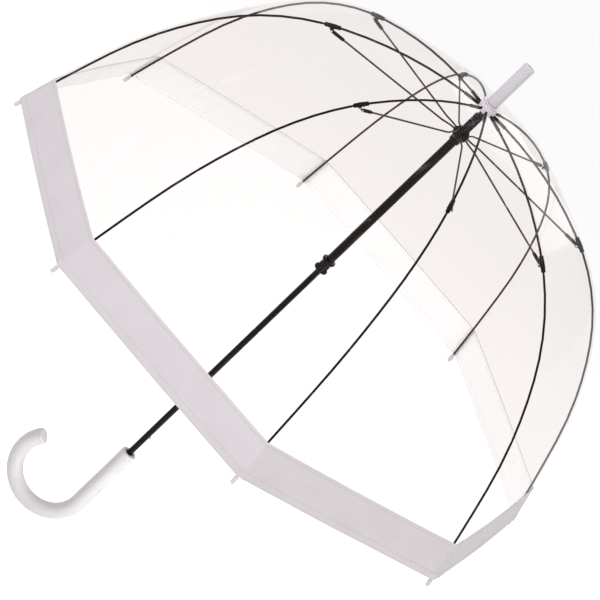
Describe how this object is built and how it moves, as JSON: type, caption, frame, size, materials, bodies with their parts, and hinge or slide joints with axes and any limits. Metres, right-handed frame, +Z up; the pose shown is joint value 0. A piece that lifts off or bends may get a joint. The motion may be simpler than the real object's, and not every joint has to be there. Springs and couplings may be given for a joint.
{
  "type": "stick umbrella",
  "caption": "Open clear dome stick umbrella with white hem band, crook handle, folding ribs, stretchers, sliding runner and two sprung catches.",
  "frame": {"origin": "on the shaft's axis, halfway along the handle's straight grip, where a hand holds it", "axes": "+Z up the shaft towards the ferrule; +X towards the open end of the crook; +Y completes a right-handed frame"},
  "size_m": [0.8346, 0.8346, 0.9377],
  "materials": {
    "white_plastic": "smooth moulded, satin gloss",
    "black_plastic": "smooth moulded, semi-matt",
    "shaft_paint": "black gloss coat",
    "rib_paint": "black satin coat",
    "spring_steel": "bare spring steel",
    "clear_film": "clear flexible film, glossy",
    "white_fabric": "plain woven, matt"
  },
  "bodies": {
    "shaft": {"shaft_tube": "shaft_paint", "ferrule": "white_plastic", "crown": "white_plastic", "handle": "white_plastic", "handle_cap": "white_plastic", "canopy_film": "clear_film", "hem_band": "white_fabric"},
    "runner": {"runner_hub": "black_plastic", "runner_tube": "black_plastic", "runner_grip": "black_plastic"},
    "upper_catch": {"upper_catch": "spring_steel"},
    "lower_catch": {"lower_catch": "spring_steel"},
    "rib_upper_1": {"rib_upper_1": "rib_paint", "rib_clip_1": "black_plastic"},
    "rib_middle_1": {"rib_middle_1": "rib_paint"},
    "rib_lower_1": {"rib_lower_1": "rib_paint", "rib_tip_1": "white_plastic"},
    "stretcher_1": {"stretcher_1": "rib_paint"},
    "rib_upper_2": {"rib_upper_2": "rib_paint", "rib_clip_2": "black_plastic"},
    "rib_middle_2": {"rib_middle_2": "rib_paint"},
    "rib_lower_2": {"rib_lower_2": "rib_paint", "rib_tip_2": "white_plastic"},
    "stretcher_2": {"stretcher_2": "rib_paint"},
    "rib_upper_3": {"rib_upper_3": "rib_paint", "rib_clip_3": "black_plastic"},
    "rib_middle_3": {"rib_middle_3": "rib_paint"},
    "rib_lower_3": {"rib_lower_3": "rib_paint", "rib_tip_3": "white_plastic"},
    "stretcher_3": {"stretcher_3": "rib_paint"},
    "rib_upper_4": {"rib_upper_4": "rib_paint", "rib_clip_4": "black_plastic"},
    "rib_middle_4": {"rib_middle_4": "rib_paint"},
    "rib_lower_4": {"rib_lower_4": "rib_paint", "rib_tip_4": "white_plastic"},
    "stretcher_4": {"stretcher_4": "rib_paint"},
    "rib_upper_5": {"rib_upper_5": "rib_paint", "rib_clip_5": "black_plastic"},
    "rib_middle_5": {"rib_middle_5": "rib_paint"},
    "rib_lower_5": {"rib_lower_5": "rib_paint", "rib_tip_5": "white_plastic"},
    "stretcher_5": {"stretcher_5": "rib_paint"},
    "rib_upper_6": {"rib_upper_6": "rib_paint", "rib_clip_6": "black_plastic"},
    "rib_middle_6": {"rib_middle_6": "rib_paint"},
    "rib_lower_6": {"rib_lower_6": "rib_paint", "rib_tip_6": "white_plastic"},
    "stretcher_6": {"stretcher_6": "rib_paint"},
    "rib_upper_7": {"rib_upper_7": "rib_paint", "rib_clip_7": "black_plastic"},
    "rib_middle_7": {"rib_middle_7": "rib_paint"},
    "rib_lower_7": {"rib_lower_7": "rib_paint", "rib_tip_7": "white_plastic"},
    "stretcher_7": {"stretcher_7": "rib_paint"},
    "rib_upper_8": {"rib_upper_8": "rib_paint", "rib_clip_8": "black_plastic"},
    "rib_middle_8": {"rib_middle_8": "rib_paint"},
    "rib_lower_8": {"rib_lower_8": "rib_paint", "rib_tip_8": "white_plastic"},
    "stretcher_8": {"stretcher_8": "rib_paint"}
  },
  "joints": [
    {"name": "runner_slide", "type": "slide", "parent": "shaft", "child": "runner", "axis": [0, 0, -1], "range_m": [0, 0.36672], "deforming": ["canopy_film", "hem_band", "upper_catch", "lower_catch"]},
    {"name": "upper_catch_press", "type": "hinge", "parent": "shaft", "child": "upper_catch", "pos_m": [-0.0026, 0, 0.4409], "axis": [0, 1, 0], "range_deg": [0, 4.4], "stiffness_Nm_per_rad": 0.02},
    {"name": "lower_catch_press", "type": "hinge", "parent": "shaft", "child": "lower_catch", "pos_m": [-0.0026, 0, 0.06978], "axis": [0, 1, 0], "range_deg": [0, 4.4], "stiffness_Nm_per_rad": 0.02},
    {"name": "rib_1_fold", "type": "hinge", "parent": "shaft", "child": "rib_upper_1", "pos_m": [0.00913, 0.00262, 0.74175], "axis": [-0.2756, 0.9613, 0], "range_deg": [0, 74.1]},
    {"name": "rib_1_bend_upper", "type": "hinge", "parent": "rib_upper_1", "child": "rib_middle_1", "pos_m": [0.21552, 0.0618, 0.68485], "axis": [0.2756, -0.9613, 0], "range_deg": [0, 32.48]},
    {"name": "rib_1_bend_lower", "type": "hinge", "parent": "rib_middle_1", "child": "rib_lower_1", "pos_m": [0.34944, 0.1002, 0.53047], "axis": [0.2756, -0.9613, 0], "range_deg": [0, 22.82]},
    {"name": "stretcher_1_swing", "type": "hinge", "parent": "runner", "child": "stretcher_1", "pos_m": [0.00817, 0.00234, 0.6966], "axis": [0.2756, -0.9613, 0], "range_deg": [0, 91.94]},
    {"name": "rib_2_fold", "type": "hinge", "parent": "shaft", "child": "rib_upper_2", "pos_m": [0.00461, 0.00831, 0.74175], "axis": [-0.8746, 0.4848, 0], "range_deg": [0, 74.1]},
    {"name": "rib_2_bend_upper", "type": "hinge", "parent": "rib_upper_2", "child": "rib_middle_2", "pos_m": [0.1087, 0.19609, 0.68485], "axis": [0.8746, -0.4848, 0], "range_deg": [0, 32.48]},
    {"name": "rib_2_bend_lower", "type": "hinge", "parent": "rib_middle_2", "child": "rib_lower_2", "pos_m": [0.17624, 0.31794, 0.53047], "axis": [0.8746, -0.4848, 0], "range_deg": [0, 22.82]},
    {"name": "stretcher_2_swing", "type": "hinge", "parent": "runner", "child": "stretcher_2", "pos_m": [0.00412, 0.00743, 0.6966], "axis": [0.8746, -0.4848, 0], "range_deg": [0, 91.94]},
    {"name": "rib_3_fold", "type": "hinge", "parent": "shaft", "child": "rib_upper_3", "pos_m": [-0.00262, 0.00913, 0.74175], "axis": [-0.9613, -0.2756, 0], "range_deg": [0, 74.1]},
    {"name": "rib_3_bend_upper", "type": "hinge", "parent": "rib_upper_3", "child": "rib_middle_3", "pos_m": [-0.0618, 0.21552, 0.68485], "axis": [0.9613, 0.2756, 0], "range_deg": [0, 32.48]},
    {"name": "rib_3_bend_lower", "type": "hinge", "parent": "rib_middle_3", "child": "rib_lower_3", "pos_m": [-0.1002, 0.34944, 0.53047], "axis": [0.9613, 0.2756, 0], "range_deg": [0, 22.82]},
    {"name": "stretcher_3_swing", "type": "hinge", "parent": "runner", "child": "stretcher_3", "pos_m": [-0.00234, 0.00817, 0.6966], "axis": [0.9613, 0.2756, 0], "range_deg": [0, 91.94]},
    {"name": "rib_4_fold", "type": "hinge", "parent": "shaft", "child": "rib_upper_4", "pos_m": [-0.00831, 0.00461, 0.74175], "axis": [-0.4848, -0.8746, 0], "range_deg": [0, 74.1]},
    {"name": "rib_4_bend_upper", "type": "hinge", "parent": "rib_upper_4", "child": "rib_middle_4", "pos_m": [-0.19609, 0.1087, 0.68485], "axis": [0.4848, 0.8746, 0], "range_deg": [0, 32.48]},
    {"name": "rib_4_bend_lower", "type": "hinge", "parent": "rib_middle_4", "child": "rib_lower_4", "pos_m": [-0.31794, 0.17624, 0.53047], "axis": [0.4848, 0.8746, 0], "range_deg": [0, 22.82]},
    {"name": "stretcher_4_swing", "type": "hinge", "parent": "runner", "child": "stretcher_4", "pos_m": [-0.00743, 0.00412, 0.6966], "axis": [0.4848, 0.8746, 0], "range_deg": [0, 91.94]},
    {"name": "rib_5_fold", "type": "hinge", "parent": "shaft", "child": "rib_upper_5", "pos_m": [-0.00913, -0.00262, 0.74175], "axis": [0.2756, -0.9613, 0], "range_deg": [0, 74.1]},
    {"name": "rib_5_bend_upper", "type": "hinge", "parent": "rib_upper_5", "child": "rib_middle_5", "pos_m": [-0.21552, -0.0618, 0.68485], "axis": [-0.2756, 0.9613, 0], "range_deg": [0, 32.48]},
    {"name": "rib_5_bend_lower", "type": "hinge", "parent": "rib_middle_5", "child": "rib_lower_5", "pos_m": [-0.34944, -0.1002, 0.53047], "axis": [-0.2756, 0.9613, 0], "range_deg": [0, 22.82]},
    {"name": "stretcher_5_swing", "type": "hinge", "parent": "runner", "child": "stretcher_5", "pos_m": [-0.00817, -0.00234, 0.6966], "axis": [-0.2756, 0.9613, 0], "range_deg": [0, 91.94]},
    {"name": "rib_6_fold", "type": "hinge", "parent": "shaft", "child": "rib_upper_6", "pos_m": [-0.00461, -0.00831, 0.74175], "axis": [0.8746, -0.4848, 0], "range_deg": [0, 74.1]},
    {"name": "rib_6_bend_upper", "type": "hinge", "parent": "rib_upper_6", "child": "rib_middle_6", "pos_m": [-0.1087, -0.19609, 0.68485], "axis": [-0.8746, 0.4848, 0], "range_deg": [0, 32.48]},
    {"name": "rib_6_bend_lower", "type": "hinge", "parent": "rib_middle_6", "child": "rib_lower_6", "pos_m": [-0.17624, -0.31794, 0.53047], "axis": [-0.8746, 0.4848, 0], "range_deg": [0, 22.82]},
    {"name": "stretcher_6_swing", "type": "hinge", "parent": "runner", "child": "stretcher_6", "pos_m": [-0.00412, -0.00743, 0.6966], "axis": [-0.8746, 0.4848, 0], "range_deg": [0, 91.94]},
    {"name": "rib_7_fold", "type": "hinge", "parent": "shaft", "child": "rib_upper_7", "pos_m": [0.00262, -0.00913, 0.74175], "axis": [0.9613, 0.2756, 0], "range_deg": [0, 74.1]},
    {"name": "rib_7_bend_upper", "type": "hinge", "parent": "rib_upper_7", "child": "rib_middle_7", "pos_m": [0.0618, -0.21552, 0.68485], "axis": [-0.9613, -0.2756, 0], "range_deg": [0, 32.48]},
    {"name": "rib_7_bend_lower", "type": "hinge", "parent": "rib_middle_7", "child": "rib_lower_7", "pos_m": [0.1002, -0.34944, 0.53047], "axis": [-0.9613, -0.2756, 0], "range_deg": [0, 22.82]},
    {"name": "stretcher_7_swing", "type": "hinge", "parent": "runner", "child": "stretcher_7", "pos_m": [0.00234, -0.00817, 0.6966], "axis": [-0.9613, -0.2756, 0], "range_deg": [0, 91.94]},
    {"name": "rib_8_fold", "type": "hinge", "parent": "shaft", "child": "rib_upper_8", "pos_m": [0.00831, -0.00461, 0.74175], "axis": [0.4848, 0.8746, 0], "range_deg": [0, 74.1]},
    {"name": "rib_8_bend_upper", "type": "hinge", "parent": "rib_upper_8", "child": "rib_middle_8", "pos_m": [0.19609, -0.1087, 0.68485], "axis": [-0.4848, -0.8746, 0], "range_deg": [0, 32.48]},
    {"name": "rib_8_bend_lower", "type": "hinge", "parent": "rib_middle_8", "child": "rib_lower_8", "pos_m": [0.31794, -0.17624, 0.53047], "axis": [-0.4848, -0.8746, 0], "range_deg": [0, 22.82]},
    {"name": "stretcher_8_swing", "type": "hinge", "parent": "runner", "child": "stretcher_8", "pos_m": [0.00743, -0.00412, 0.6966], "axis": [-0.4848, -0.8746, 0], "range_deg": [0, 91.94]}
  ],
  "couplings": [
    {"joint": "rib_1_fold", "follows": "runner_slide", "rad_per_m": 3.5267},
    {"joint": "rib_1_bend_upper", "follows": "runner_slide", "rad_per_m": 1.5457},
    {"joint": "rib_1_bend_lower", "follows": "runner_slide", "rad_per_m": 1.086},
    {"joint": "stretcher_1_swing", "follows": "runner_slide", "rad_per_m": 4.3757},
    {"joint": "rib_2_fold", "follows": "runner_slide", "rad_per_m": 3.5267},
    {"joint": "rib_2_bend_upper", "follows": "runner_slide", "rad_per_m": 1.5457},
    {"joint": "rib_2_bend_lower", "follows": "runner_slide", "rad_per_m": 1.086},
    {"joint": "stretcher_2_swing", "follows": "runner_slide", "rad_per_m": 4.3757},
    {"joint": "rib_3_fold", "follows": "runner_slide", "rad_per_m": 3.5267},
    {"joint": "rib_3_bend_upper", "follows": "runner_slide", "rad_per_m": 1.5457},
    {"joint": "rib_3_bend_lower", "follows": "runner_slide", "rad_per_m": 1.086},
    {"joint": "stretcher_3_swing", "follows": "runner_slide", "rad_per_m": 4.3757},
    {"joint": "rib_4_fold", "follows": "runner_slide", "rad_per_m": 3.5267},
    {"joint": "rib_4_bend_upper", "follows": "runner_slide", "rad_per_m": 1.5457},
    {"joint": "rib_4_bend_lower", "follows": "runner_slide", "rad_per_m": 1.086},
    {"joint": "stretcher_4_swing", "follows": "runner_slide", "rad_per_m": 4.3757},
    {"joint": "rib_5_fold", "follows": "runner_slide", "rad_per_m": 3.5267},
    {"joint": "rib_5_bend_upper", "follows": "runner_slide", "rad_per_m": 1.5457},
    {"joint": "rib_5_bend_lower", "follows": "runner_slide", "rad_per_m": 1.086},
    {"joint": "stretcher_5_swing", "follows": "runner_slide", "rad_per_m": 4.3757},
    {"joint": "rib_6_fold", "follows": "runner_slide", "rad_per_m": 3.5267},
    {"joint": "rib_6_bend_upper", "follows": "runner_slide", "rad_per_m": 1.5457},
    {"joint": "rib_6_bend_lower", "follows": "runner_slide", "rad_per_m": 1.086},
    {"joint": "stretcher_6_swing", "follows": "runner_slide", "rad_per_m": 4.3757},
    {"joint": "rib_7_fold", "follows": "runner_slide", "rad_per_m": 3.5267},
    {"joint": "rib_7_bend_upper", "follows": "runner_slide", "rad_per_m": 1.5457},
    {"joint": "rib_7_bend_lower", "follows": "runner_slide", "rad_per_m": 1.086},
    {"joint": "stretcher_7_swing", "follows": "runner_slide", "rad_per_m": 4.3757},
    {"joint": "rib_8_fold", "follows": "runner_slide", "rad_per_m": 3.5267},
    {"joint": "rib_8_bend_upper", "follows": "runner_slide", "rad_per_m": 1.5457},
    {"joint": "rib_8_bend_lower", "follows": "runner_slide", "rad_per_m": 1.086},
    {"joint": "stretcher_8_swing", "follows": "runner_slide", "rad_per_m": 4.3757}
  ]
}
